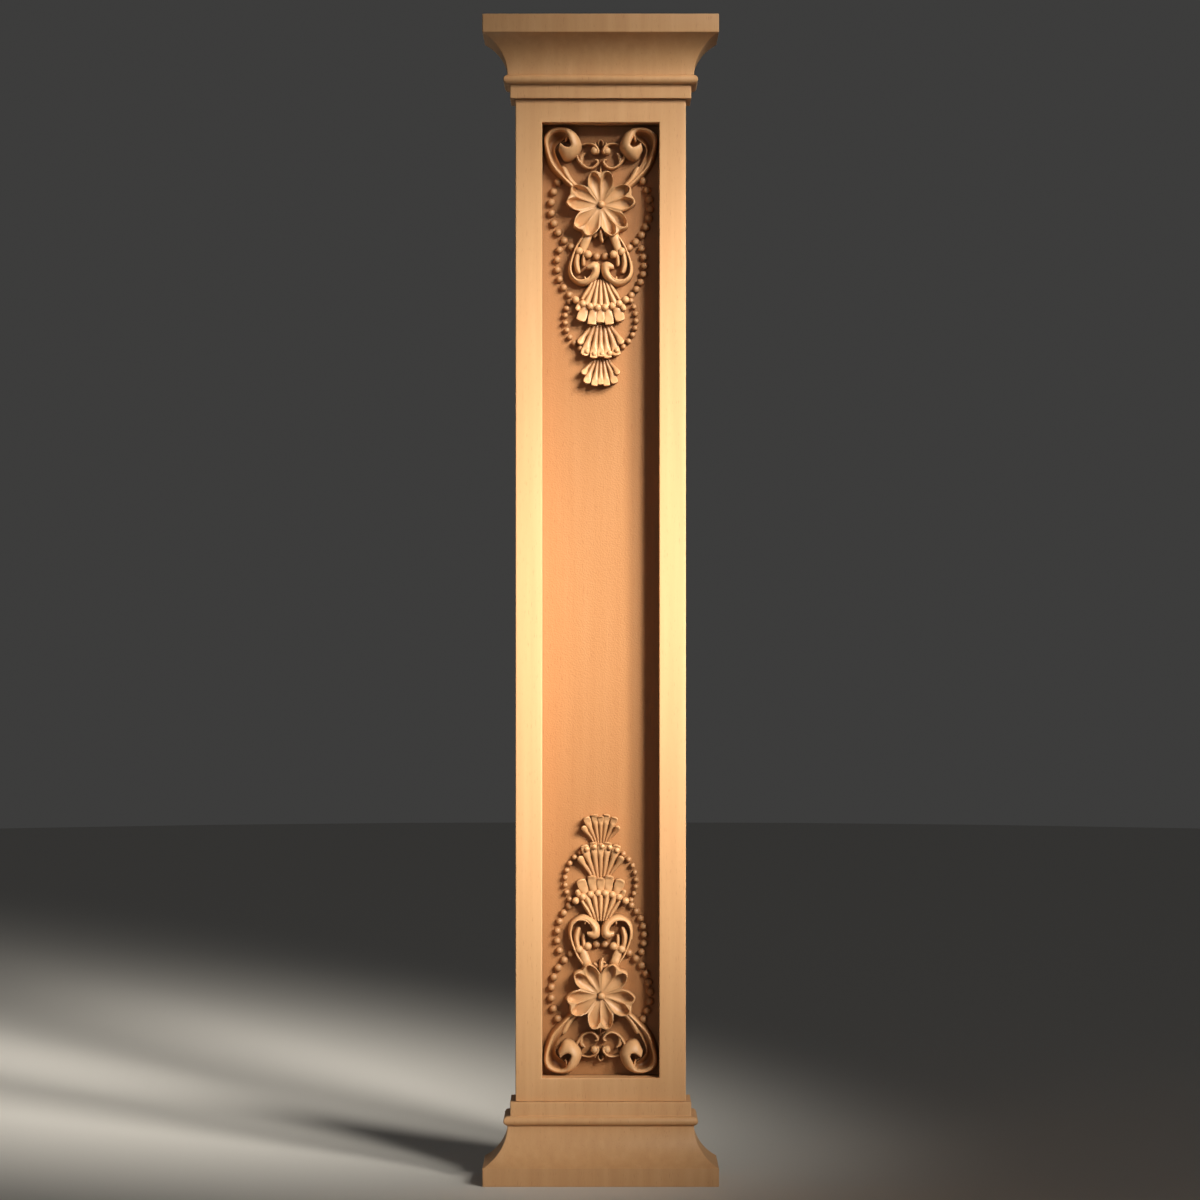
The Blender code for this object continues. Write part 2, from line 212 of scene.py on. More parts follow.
def grid_faces(rows, columns, start=0, flip=False):
    """Quads of a grid of points, row by row."""
    i, j = np.meshgrid(np.arange(rows - 1), np.arange(columns - 1), indexing="ij")
    first = (start + i * columns + j).ravel()
    quads = np.stack([first, first + 1, first + columns + 1, first + columns], axis=1)
    return quads[:, ::-1] if flip else quads


def rounded(points, radius, steps=5):
    """Round each inner corner of an open outline with an arc that touches both its sides."""
    outline = [points[0]]
    for before, corner, after in zip(points, points[1:], points[2:]):
        here = np.array(corner)
        back, ahead = np.array(before) - here, np.array(after) - here
        reach = min(np.linalg.norm(back), np.linalg.norm(ahead)) * ARC_SHARE
        back, ahead = back / np.linalg.norm(back), ahead / np.linalg.norm(ahead)
        half = math.acos(np.clip(back @ ahead, -1, 1)) / 2
        if half > math.radians(STRAIGHT_HALF_ANGLE):
            outline.append(tuple(here))
            continue
        length = min(radius / math.tan(half), reach)
        centre = here + (back + ahead) / np.linalg.norm(back + ahead) * length / math.cos(half)
        spokes = [here + back * length - centre, here + ahead * length - centre]
        for t in np.linspace(0, 1, steps):
            spoke = spokes[0] * (1 - t) + spokes[1] * t
            spoke *= np.linalg.norm(spokes[0]) / np.linalg.norm(spoke)
            outline.append(tuple(centre + spoke))
    outline.append(points[-1])
    return outline


def moulding_outline():
    """Projection and distance from the outer end: fillet, cavetto, astragal, fascia."""
    points = [(FILLET_PROJECTION - OUTER_END_INSET, 0.0), (FILLET_PROJECTION, 0.0),
              (FILLET_PROJECTION, FILLET_HEIGHT)]
    hollow = FILLET_PROJECTION - CAVETTO_PROJECTION
    radius = (hollow ** 2 + CAVETTO_HEIGHT ** 2) / (2 * hollow)
    sweep = math.asin(CAVETTO_HEIGHT / radius)
    for angle in sweep * np.linspace(1, 0, 33)[1:]:
        points.append((CAVETTO_PROJECTION + radius * (1 - math.cos(angle)),
                       FILLET_HEIGHT + CAVETTO_HEIGHT - radius * math.sin(angle)))
    half = ASTRAGAL_HEIGHT / 2
    middle = FILLET_HEIGHT + CAVETTO_HEIGHT + half
    for angle in np.linspace(0, math.pi, 25):
        points.append((ASTRAGAL_PROJECTION - half + half * math.sin(angle),
                       middle - half * math.cos(angle)))
    end = middle + half + FASCIA_HEIGHT
    points += [(FASCIA_PROJECTION, middle + half), (FASCIA_PROJECTION, end),
               (FASCIA_PROJECTION - INNER_END_INSET, end)]
    return rounded(points, MOULDING_ARRIS)


def moulding(name, end_z, inward, material, replaced):
    """The outline carried round the front and both sides, with eased corners in plan."""
    corner = np.linspace(0, math.pi / 2, 5)
    rows = []
    for projection, distance in moulding_outline():
        side = SHAFT_WIDTH / 2 + projection
        front = FRONT_Y - projection
        ease = ARRIS_RADIUS
        left = [(-side + ease - ease * math.cos(a), front + ease - ease * math.sin(a))
                for a in corner]
        plan = ([(-side, BACK_Y)] + left + [(-x, y) for x, y in reversed(left)]
                + [(side, BACK_Y)])
        rows.append([(x, y, end_z + inward * distance) for x, y in plan])
    columns = len(rows[0])
    faces = grid_faces(len(rows), columns, flip=inward < 0).tolist()
    count = len(rows) * columns
    back = [i * columns for i in range(len(rows))]
    back += [i * columns + columns - 1 for i in reversed(range(len(rows)))]
    ends = [list(range(columns))[::-1], list(range(count - columns, count)), back]
    if inward < 0:
        ends = [face[::-1] for face in ends]
    flat = range(len(faces), len(faces) + 3)
    return piece(name, [p for row in rows for p in row], faces + ends, flat, material, replaced)


def shaft_board(material_frame, material_wall, material_floor):
    """The board: eased long arrises, and a sunk field with an eased rim all round."""
    low, high = SHAFT_LOW[2], SHAFT_HIGH[2]
    half, ease = SHAFT_WIDTH / 2, ARRIS_RADIUS
    arc = np.linspace(0, math.pi / 2, 7)
    left = [(-half, BACK_Y)] + [(-half + ease * (1 - math.cos(a)), FRONT_Y + ease
                                 - ease * math.sin(a)) for a in arc]
    plan = left + [(-x, y) for x, y in reversed(left)]
    points = [(x, y, z) for z in (low, high) for x, y in plan]
    columns = len(plan)
    side = [q for q in grid_faces(2, columns).tolist() if q[0] != len(left) - 1]
    faces = side + [list(range(columns))[::-1], list(range(columns, 2 * columns)),
                    [0, columns, 2 * columns - 1, columns - 1]]
    flat = {len(side), len(side) + 1, len(side) + 2}
    walls = []
    # Rings of the field: down the eased rim, down the wall, to the floor
    rings = [(ease * (1 - math.sin(a)), ease * (1 - math.cos(a))) for a in arc]
    rings.append((0.0, FIELD_DEPTH))
    start = len(points)
    for grow, depth in rings:
        x, z = FIELD_HALF_WIDTH + grow, FIELD_HALF_HEIGHT + grow
        points += [(sx * x, FRONT_Y + depth, MIDDLE + sz * z)
                   for sx, sz in ((-1, -1), (1, -1), (1, 1), (-1, 1))]
    outer = [len(left) - 1, len(left), columns + len(left), columns + len(left) - 1]
    for k in range(4):
        flat.add(len(faces))
        faces.append([outer[k], outer[(k + 1) % 4], start + (k + 1) % 4, start + k])
    for ring in range(len(rings) - 1):
        for k in range(4):
            a, b = start + 4 * ring + k, start + 4 * ring + (k + 1) % 4
            faces.append([a, b, b + 4, a + 4])
            if ring == len(rings) - 2:
                flat.add(len(faces) - 1)
                walls.append(len(faces) - 1)
    flat.add(len(faces))
    last = start + 4 * (len(rings) - 1)
    faces.append([last, last + 1, last + 2, last + 3])
    board = piece("shaft_board", points, faces, flat, material_frame, "shaft")
    board.data.materials.append(material_wall)
    board.data.materials.append(material_floor)
    for wall in walls:
        board.data.polygons[wall].material_index = 1
    board.data.polygons[len(faces) - 1].material_index = 2
    return board


def through(points, count):
    """Stations of a smooth curve through the points (Catmull-Rom), as rows."""
    rows = np.array(points, dtype=float)
    rows = np.vstack([2 * rows[0] - rows[1], rows, 2 * rows[-1] - rows[-2]])
    s = np.linspace(0, len(points) - 1, count)
    i = np.minimum(s.astype(int), len(points) - 2)
    t = (s - i)[:, None]
    a, b, c, d = rows[i], rows[i + 1], rows[i + 2], rows[i + 3]
    return 0.5 * (2 * b + (c - a) * t + (2 * a - 5 * b + 4 * c - d) * t ** 2
                  + (3 * b - a - 3 * c + d) * t ** 3)


def dome_section(side, count=15):
    """Places across from -1 to 1 and shares of the height: a round back on low walls."""
    turn = np.linspace(-math.pi / 2, math.pi / 2, count)
    return np.sin(turn), side + (1 - side) * np.cos(turn)


def smooth_step(x):
    """0 below 0, 1 above 1, and a smooth S between."""
    x = np.clip(x, 0, 1)
    return x * x * (3 - 2 * x)


class Relief:
    """Closed carved forms, gathered into one mesh."""

    def __init__(self, turn):
        self.turn = turn
        self.points, self.faces, self.count = [], [], 0

    def world(self, u, v, h):
        """Drawing units to metres; h = 0 is the floor of the field."""
        return np.stack([u * UNIT, FLOOR_Y - h * RELIEF_UNIT,
                         MIDDLE + self.turn * (FLOWER_HEIGHT + v * UNIT)], axis=-1)

    def patch(self, u, v, h, mirror=1, foot=None, lean=0.0):
        """A top surface with walls from its border down into the floor.

        foot holds the places at the floor of its first and last columns, where the walls
        lean outwards. lean is how far the wall past the last row leans out.
        """
        border_u, border_v = np.pad(u, 1, mode="edge"), np.pad(v, 1, mode="edge")
        if lean:
            out_u, out_v = u[-1] - u[-2], v[-1] - v[-2]
            size = np.hypot(out_u, out_v)
            border_u[-1, 1:-1] += lean * out_u / size
            border_v[-1, 1:-1] += lean * out_v / size
        if foot is not None:
            for column, (foot_u, foot_v) in zip((0, -1), foot):
                border_u[:, column] = np.pad(foot_u, 1, mode="edge")
                border_v[:, column] = np.pad(foot_v, 1, mode="edge")
        height = np.pad(h, 1, constant_values=ROOT)
        rows, columns = height.shape
        index = self.count + np.arange(rows * columns).reshape(rows, columns)
        ring = np.concatenate([index[0], index[1:, -1], index[-1, -2::-1], index[-2:0:-1, 0]])
        around_u = np.concatenate([u[0], u[1:, -1], u[-1, -2::-1], u[-2:0:-1, 0]])
        around_v = np.concatenate([v[0], v[1:, -1], v[-1, -2::-1], v[-2:0:-1, 0]])
        area = np.sum(around_u * np.roll(around_v, -1) - around_v * np.roll(around_u, -1))
        flip = (mirror * self.turn * area) < 0
        self.faces += grid_faces(rows, columns, self.count, flip=flip).tolist()
        self.faces.append(ring[::-1].tolist() if not flip else ring.tolist())
        self.points.append(self.world(mirror * border_u, border_v, height).reshape(-1, 3))
        self.count += rows * columns

    def sweep(self, curve, across, share, mirror=1, start=0.0, end=0.0):
        """A section carried along stations of u, v, half width and height.

        across and share give the section. start and end say how far each end is rounded
        off, as shares of the half width there.
        """
        step = np.gradient(curve[:, :2], axis=0)
        step /= np.linalg.norm(step, axis=1)[:, None]
        length = np.concatenate([[0], np.cumsum(np.linalg.norm(
            np.diff(curve[:, :2], axis=0), axis=1))])
        width, height = curve[:, 2].copy(), curve[:, 3].copy()
        for reach, distance, w in ((start, length, width[0]),
                                   (end, length[-1] - length, width[-1])):
            if reach:
                gone = 1 - np.clip(distance / (reach * w), 0, 1)
                cap = np.sqrt(np.maximum(1 - gone ** 2, 0.0))
                width *= CAP_WIDTH + (1 - CAP_WIDTH) * cap
                height *= CAP_HEIGHT + (1 - CAP_HEIGHT) * cap
        shift = width[:, None] * across[None, :]
        u = curve[:, :1] - step[:, 1:] * shift
        v = curve[:, 1:2] + step[:, :1] * shift
        self.patch(u, v, height[:, None] * np.atleast_2d(share), mirror)

    def band(self, points, side=0.5, count=40, mirror=1, start=0.0, end=1.0):
        """A round-backed strap along a smooth path of u, v, half width and height.

        side is the share of its height that its low walls have.
        """
        across, share = dome_section(side)
        self.sweep(through(points, count), across, share, mirror, start, end)

    def loft(self, rows, mirror=1, count=90, columns=22):
        """A surface between two smooth rails.

        Each row holds the inner rail's u and v, the outer rail's u and v, the heights at
        the inner rail, at the crest and at the outer rail, the crest's place from 0 at
        the inner rail to 1 at the outer one, and how far the outer wall leans out. The
        height rises as a parabola up to the crest and falls as a quarter of an ellipse.
        columns is the number of points across.
        """
        line = through(rows, count)
        # The columns lie closer together near both rails
        t = np.linspace(0, math.pi / 2, columns)
        t = (1 - np.cos(t))[None, :] * 0.5 + np.sin(t)[None, :] * 0.5
        rail = line[:, :, None]
        u = rail[:, 0] * (1 - t) + rail[:, 2] * t
        v = rail[:, 1] * (1 - t) + rail[:, 3] * t
        crest = np.clip(rail[:, 7], 0.02, 0.98)
        rise = rail[:, 5] - (rail[:, 5] - rail[:, 4]) * np.clip(1 - t / crest, 0, 1) ** 2
        along = np.clip((t - crest) / (1 - crest), 0, 1)
        fall = rail[:, 6] + (rail[:, 5] - rail[:, 6]) * np.sqrt(1 - along ** 2)
        h = np.where(t < crest, rise, fall)
        out = line[:, 2:4] - line[:, 0:2]
        out /= np.linalg.norm(out, axis=1)[:, None]
        outer_foot = line[:, 2:4] + out * line[:, 8:9]
        self.patch(u, v, h, mirror, ((line[:, 0], line[:, 1]), outer_foot.T))

    def hollow(self, rows, mirror=1, count=80, columns=18):
        """A concave surface between two rails.

        Each row holds one rail's u, v and height, the other rail's u, v and height, and
        how deep the middle lies below the line between them. The depth across is the
        0.8th power of a sine, which is fuller near the rails than the sine.
        """
        line = through(rows, count)[:, :, None]
        t = np.linspace(0, 1, columns)[None, :]
        u = line[:, 0] * (1 - t) + line[:, 3] * t
        v = line[:, 1] * (1 - t) + line[:, 4] * t
        h = line[:, 2] * (1 - t) + line[:, 5] * t - line[:, 6] * np.sin(math.pi * t) ** 0.8
        self.patch(u, v, h, mirror)

    def bead(self, u, v, radius, height, rings=6, sides=18):
        """A round bead: half a ball on a short drum, closed at its pole."""
        turn = np.linspace(0, 2 * math.pi, sides, endpoint=False)
        rise = np.linspace(0, math.pi / 2, rings)
        r = np.concatenate([[radius], radius * np.cos(rise)[:-1]])
        h = np.concatenate([[ROOT], height - radius * (1 - np.sin(rise)[:-1])])
        world = self.world(u + r[:, None] * np.cos(turn), v + r[:, None] * np.sin(turn),
                           np.repeat(h[:, None], sides, 1))
        index = self.count + np.arange(rings * sides).reshape(rings, sides)
        after = np.roll(index, -1, axis=1)
        quads = np.stack([index[:-1], after[:-1], after[1:], index[1:]], axis=-1).reshape(-1, 4)
        top = self.count + rings * sides
        crown = np.stack([index[-1], after[-1], np.full(sides, top)], axis=-1)
        if self.turn < 0:
            quads, crown = quads[:, ::-1], crown[:, ::-1]
        self.faces += quads.tolist() + crown.tolist()
        base = index[0].tolist()
        self.faces.append(base[::-1] if self.turn > 0 else base)
        self.points += [world.reshape(-1, 3), self.world(np.array([u]), np.array([v]),
                                                         np.array([height]))]
        self.count += rings * sides + 1

    def build(self, name, material):
        """The gathered forms as one piece of the shaft."""
        points = np.concatenate(self.points)
        return piece(name, points.tolist(), self.faces, (), material, "shaft")


# The scroll at the head of the ornament, left half. Its rounded rim runs up from the
# flower, over the top, and widens into the ball that the leaf's rolled end makes. Rows of
# inner rail, outer rail, heights (inner, crest, outer), place of the crest, lean.
SCROLL_RIM = (
    (-16.6, 11.4, -18.4, 9.4, 4.0, 5.0, 3.6, 0.50, 0.4),
    (-20.6, 15.2, -22.6, 13.4, 8.0, 9.2, 6.6, 0.50, 1.0),
    (-29.8, 23.8, -31.4, 22.2, 8.5, 10.2, 7.0, 0.50, 2.2),
    (-36.0, 31.6, -38.2, 30.4, 8.8, 10.6, 7.0, 0.50, 2.4),
    (-39.5, 41.0, -42.3, 40.4, 9.2, 11.0, 7.2, 0.50, 2.2),
    (-40.9, 48.6, -44.0, 49.2, 9.4, 11.4, 7.4, 0.50, 1.6),
    (-39.9, 52.8, -43.0, 54.6, 9.6, 11.7, 7.6, 0.50, 1.0),
    (-36.8, 55.8, -39.2, 58.4, 9.8, 12.0, 8.0, 0.50, 0.6),
    (-32.2, 57.3, -32.8, 60.3, 10.0, 12.5, 8.4, 0.48, 0.4),
    (-28.2, 56.6, -25.6, 59.8, 11.0, 13.3, 8.0, 0.42, 0.3),
    (-26.0, 53.8, -19.6, 56.4, 12.4, 14.2, 6.8, 0.32, 0.2),
    (-24.2, 50.4, -15.8, 50.4, 13.6, 14.9, 5.2, 0.24, 0.0),
    (-22.9, 47.2, -14.8, 44.4, 14.0, 15.0, 4.2, 0.20, 0.0),
    (-23.8, 45.0, -18.2, 38.3, 13.8, 14.8, 3.6, 0.16, 0.0),
    (-25.8, 44.4, -23.4, 34.5, 13.4, 14.4, 3.2, 0.13, 0.0),
    (-28.2, 45.4, -28.6, 34.9, 12.8, 13.8, 3.6, 0.13, 0.0),
    (-31.3, 48.0, -32.8, 42.6, 11.6, 12.4, 6.0, 0.20, 0.0),
)
# The leaf's hollow inside that rim: rim side, inner edge, depth of the hollow
SCROLL_HOLLOW = (
    (-17.5, 10.4, 4.4, -15.8, 12.0, 4.4, 0.4),
    (-21.8, 14.4, 8.0, -19.8, 16.2, 8.0, 0.6),
    (-30.6, 23.0, 8.4, -28.0, 25.8, 8.4, 1.8),
    (-37.1, 31.0, 8.6, -32.5, 33.6, 8.4, 3.2),
    (-40.9, 40.7, 8.8, -35.3, 40.6, 7.6, 5.0),
    (-42.4, 48.9, 9.0, -35.0, 45.2, 7.0, 6.6),
    (-38.0, 57.1, 9.2, -32.6, 48.4, 6.4, 7.0),
    (-32.5, 58.8, 9.2, -30.4, 50.2, 6.4, 6.8),
    (-27.4, 57.6, 9.2, -28.6, 51.4, 7.4, 4.8),
    (-25.4, 54.4, 9.2, -27.4, 52.6, 8.6, 1.4),
)
# Straps, here and below, are rows of u, v, half width and height
TONGUE = ((-25.9, 55.4, 1.0, 11.4), (-26.5, 52.4, 1.0, 11.0), (-27.4, 49.4, 0.6, 10.0))
SPUR = ((-29.9, 30.2, 1.3, 7.8), (-28.3, 27.6, 2.2, 8.4), (-26.0, 23.2, 2.2, 8.8),
        (-22.7, 18.4, 2.0, 8.8), (-19.2, 15.0, 1.8, 8.4), (-15.8, 12.0, 1.4, 4.6))

# Small curls, buds and finial between the scrolls, left half. The bud and the knob below
# are beads: u, v, radius and height.
UPPER_CURL = ((-15.6, 46.7, 0.8, 6.4), (-12.9, 47.6, 0.8, 6.6), (-10.2, 48.0, 0.85, 7.2),
              (-6.9, 47.5, 1.0, 8.8), (-4.3, 46.0, 1.2, 10.2), (-2.5, 43.6, 1.3, 10.8),
              (-2.2, 41.2, 1.2, 10.4), (-3.4, 39.7, 0.8, 9.4))
BUD = (-4.7, 42.3, 3.0, 10.6)
ARCH = ((-1.4, 46.6, 0.55, 6.5), (-1.9, 48.4, 0.6, 6.8), (-1.3, 50.2, 0.65, 7.0),
        (0.0, 50.9, 0.7, 7.0), (1.3, 50.2, 0.65, 7.0), (1.9, 48.4, 0.6, 6.8),
        (1.4, 46.6, 0.55, 6.5))
BUD_POINT = ((-3.9, 46.4, 1.0, 8.2), (-4.3, 47.9, 0.8, 7.4), (-4.4, 49.2, 0.3, 6.5))
LOWER_CURL = (
    (-18.8, 38.6, 1.3, 7.0), (-17.2, 35.4, 1.3, 7.0), (-14.0, 31.3, 1.2, 7.2),
    (-10.5, 29.3, 1.2, 7.4), (-7.4, 29.0, 1.2, 7.4), (-4.6, 30.4, 1.2, 7.4),
    (-2.6, 32.8, 1.25, 7.4), (-2.7, 35.0, 1.15, 7.4), (-4.9, 35.5, 0.6, 7.0),
)
CURL_LEAF = ((-14.6, 32.4, 0.9, 6.0), (-15.2, 35.6, 1.6, 6.2), (-14.6, 38.6, 1.6, 6.2),
             (-12.0, 41.0, 0.4, 6.4))
STEM = ((0.0, 30.4, 0.25, 6.0), (0.0, 28.6, 0.45, 7.2), (0.0, 26.6, 0.8, 9.0),
        (0.0, 24.6, 1.5, 10.5))

# Curled leaf, left half. Its body is the belly under the rim and the fat hook, as rows of
# inner rail, outer rail, heights (inner, crest, outer), place of the crest, lean.
LEAF_BODY = (
    (-23.8, -44.0, -24.6, -43.4, 8.0, 8.4, 5.0, 0.20, 0.4),
    (-23.4, -50.5, -25.4, -50.8, 8.2, 8.7, 4.2, 0.18, 0.8),
    (-21.4, -56.0, -23.4, -57.4, 8.4, 9.0, 3.6, 0.18, 0.8),
    (-16.6, -58.4, -17.6, -62.0, 8.6, 9.4, 3.2, 0.20, 0.6),
    (-12.6, -58.2, -12.0, -63.0, 8.6, 9.9, 3.2, 0.24, 0.4),
    (-9.8, -56.8, -6.6, -60.4, 9.0, 10.8, 4.2, 0.34, 0.2),
    (-7.6, -53.6, -2.0, -56.2, 9.6, 12.0, 5.2, 0.40, 0.0),
    (-6.6, -51.2, -0.3, -50.9, 10.4, 12.8, 6.0, 0.42, 0.0),
    (-7.2, -50.0, -1.2, -45.6, 11.0, 12.9, 6.6, 0.42, 0.0),
    (-8.8, -49.9, -5.2, -44.0, 11.2, 12.6, 7.4, 0.42, 0.0),
    (-10.6, -49.6, -9.8, -46.6, 10.8, 11.6, 9.4, 0.45, 0.0),
)
LEAF_RIM = (
    (-10.9, -20.4, 0.9, 5.0), (-14.3, -25.4, 0.9, 9.6), (-17.7, -30.4, 0.9, 9.4),
    (-20.4, -36.2, 0.9, 9.2), (-22.6, -42.4, 0.9, 9.2), (-23.6, -48.4, 0.9, 9.4),
    (-22.5, -54.0, 0.9, 9.6), (-19.4, -58.0, 1.0, 9.8), (-15.8, -59.0, 1.1, 10.0),
    (-12.2, -58.6, 1.1, 10.4), (-9.6, -57.2, 0.9, 10.6), (-8.0, -54.8, 0.5, 10.4),
)
LEAF_CUSP = ((-11.0, -59.4, 1.3, 9.8), (-11.9, -57.4, 1.0, 9.8), (-12.4, -55.2, 0.4, 9.4))
LEAF_STEM = ((-8.8, -19.0, 3.3, 5.0), (-10.9, -25.0, 3.7, 9.8), (-12.6, -30.6, 3.4, 9.4),
             (-14.2, -35.6, 2.8, 8.8))
LONG_FINGER = ((-16.4, -34.0, 1.9, 8.8), (-18.2, -39.6, 2.1, 9.0), (-18.8, -45.2, 2.3, 8.8),
               (-17.8, -50.2, 2.1, 8.4), (-16.4, -53.2, 1.5, 7.8))
SHORT_FINGER = ((-12.6, -34.5, 1.6, 8.6), (-13.2, -40.4, 1.6, 8.6), (-13.4, -44.6, 1.6, 8.2),
                (-13.2, -47.6, 1.3, 7.6))
PENDANT = ((0.0, -16.0, 1.0, 5.0), (0.1, -20.0, 1.5, 9.8), (0.4, -23.6, 1.9, 10.2),
           (0.9, -26.8, 1.6, 9.4), (1.7, -29.4, 0.8, 8.0))
SEPALS = (
    ((-1.6, -21.4, 0.9, 6.6), (-4.0, -23.8, 1.4, 6.4), (-5.6, -25.0, 0.7, 6.0)),
    ((1.2, -21.4, 0.9, 6.6), (4.0, -23.0, 1.3, 6.4), (5.8, -23.8, 0.7, 6.0)),
    ((0.9, -26.8, 0.7, 7.4), (2.8, -25.8, 0.8, 7.6), (4.0, -24.6, 0.5, 7.0)),
)

# Flower: the petals' number, the reach of a lobe's end and of the notch between two lobes,
# the full half width, and where a petal starts, from the flower's centre
PETAL_COUNT = 5
PETAL_REACH = 25.9
PETAL_NOTCH = 24.7
PETAL_HALF_WIDTH = 9.9
PETAL_START = 2.6
# The rim's height at root and tip, and the power that it rises with
PETAL_ROOT_HEIGHT = 6.5
PETAL_TIP_HEIGHT = 13.4
RIM_POWER = 1.1
# The bowl: its depth, the power that it deepens with, and where it is full deep; the width
# of the rim and the half width of the ridge; the ridge's depth as a share of the bowl's; the
# radii of the gouge beside the rim and beside the ridge
PETAL_SCOOP = 6.2
SCOOP_POWER = 1.3
SCOOP_FULL = 0.85
PETAL_RIM = 0.95
PETAL_RIDGE = 0.5
RIDGE_DROP = 0.4
RIM_GOUGE = 3.2
RIDGE_GOUGE = 2.2
# The fold between the lobes: its length and half width, its slope, and the width of the rim
# along it as a share of the other rims'
PETAL_FOLD = (4.6, 3.9)
PETAL_FOLD_DROP = 0.35
FOLD_RIM_SHARE = 0.4
# How far the end wall leans out, and how much higher each petal lies than the one before
PETAL_LEAN = 1.3
PETAL_LAP = 0.12
# A lobe's end: how much of a rounded corner it is, and the corner's power (2 is a circle)
LOBE_ROUNDING = 0.80
LOBE_POWER = 2.6
# How soft the turn from the straight sides to the full width is, and the bowl's corners
SIDE_SOFTNESS = 0.5
BOWL_SOFTNESS = 0.45
# The eased outer edge: its drop, and its width as a share of the rim's
EDGE_DROP = 0.7
EDGE_SHARE = 0.6
# Points along and across a petal
PETAL_GRID = (54, 89)
KNOB = (0.6, 0.5, 2.7, 10.8)

# Fans of seven ribs. Each holds the place of its neck, the half width there, the heights
# at the neck and the ends, its size against the largest, the half width of its outermost
# lobes, and how far across and below the neck its ribs end, from the middle one outwards.
FANS = (
    (-64.9, 9.2, 5.0, 10.6, 1.00, 2.0, ((0.0, 27.1), (7.0, 28.6), (15.9, 25.9), (18.8, 17.4))),
    (-96.0, 9.0, 4.2, 10.4, 0.84, 2.6, ((0.0, 22.4), (5.7, 23.5), (13.0, 21.5), (16.9, 12.4))),
    (-122.1, 7.2, 3.4, 10.2, 0.72, 2.3, ((0.0, 17.9), (4.9, 18.9), (11.3, 17.0), (14.0, 9.8))),
)
# Half widths of the lobes and the rounding of their ends, from the middle rib outwards
LOBE_HALF_WIDTHS = (3.2, 3.6, 3.9)
LOBE_ENDS = (0.25, 0.25, 0.6, 1.0)
# A rib: points along and across it; its hidden root's place across as a share of its place
# at the neck, and the root's rise above the neck; its bend's place as shares of the way
# from the neck to the end, across and down
RIB_GRID = (54, 17)
RIB_ROOT_SHARE = 0.6
RIB_ROOT_RISE = 7.0
RIB_BEND = (0.58, 0.52)
# Half width at stations from 0 at the root to 1 at the end: first as shares of the pitch at
# the neck, then of the lobe's half width
WIDTH_STATIONS = (0, 0.25, 0.45, 0.62, 0.72, 0.88, 1)
PITCH_SHARES = (0.36, 0.50, 0.64)
LOBE_SHARES = (0.70, 0.88, 1, 0.92)
# Height of the sides at the stations, as shares of the back's
SIDE_STATIONS = (0, 0.6, 0.85, 1)
SIDE_SHARES = (0.40, 0.55, 0.82, 0.86)
# The power that the height rises with. In a stepped fan, the share of the rise at the root,
# and the step's place, length and extra drop.
FLARE_POWER = 2.6
STEP_ROOT_SHARE = 0.25
STEP_PLACE, STEP_LENGTH = 0.64, 0.03
STEP_DROP = 0.4
# The dish in a lobe: its depth as a share of the height, where it starts and ends, and the
# length of the slope at each
LOBE_DISH = 0.11
DISH_START, DISH_RUN_IN = 0.72, 0.12
DISH_END, DISH_RUN_OUT = 0.92, 0.06

# Strings of beads: ring centre, ring radius, bead radius, number of beads, how far from
# the top the string starts on the left and ends on the right in degrees, how many degrees
# its middle has moved round and its sides have slid down, and the stretch either side of
# the axis where the beads lie on other forms, with their lift there
BEAD_RINGS = (
    (-0.9, 38.7, 3.15, 23, 59.6, 58.4, (4.5, 3.6), (8.5, 19.5, 5.4)),
    (-45.6, 34.1, 2.8, 21, 71.0, 69.0, (5.0, 4.5), (0.0, 20.5, 4.8)),
    (-88.5, 27.8, 2.15, 21, 60.5, 58.6, (1.5, -1.5), (0.0, 15.5, 4.6)),
)
BEAD_HEIGHT = 5.2


def soft_minimum(values, softness):
    """The smallest of some arrays, with the corners between them rounded."""
    return -softness * np.log(sum(np.exp(-value / softness) for value in values))


def gouged(gap, radius):
    """How deep a round gouge has cut, from 0 to 1: a quarter circle of the gap inside its
    edge."""
    return np.sqrt(1 - (1 - np.clip(gap / radius, 0, 1)) ** 2)


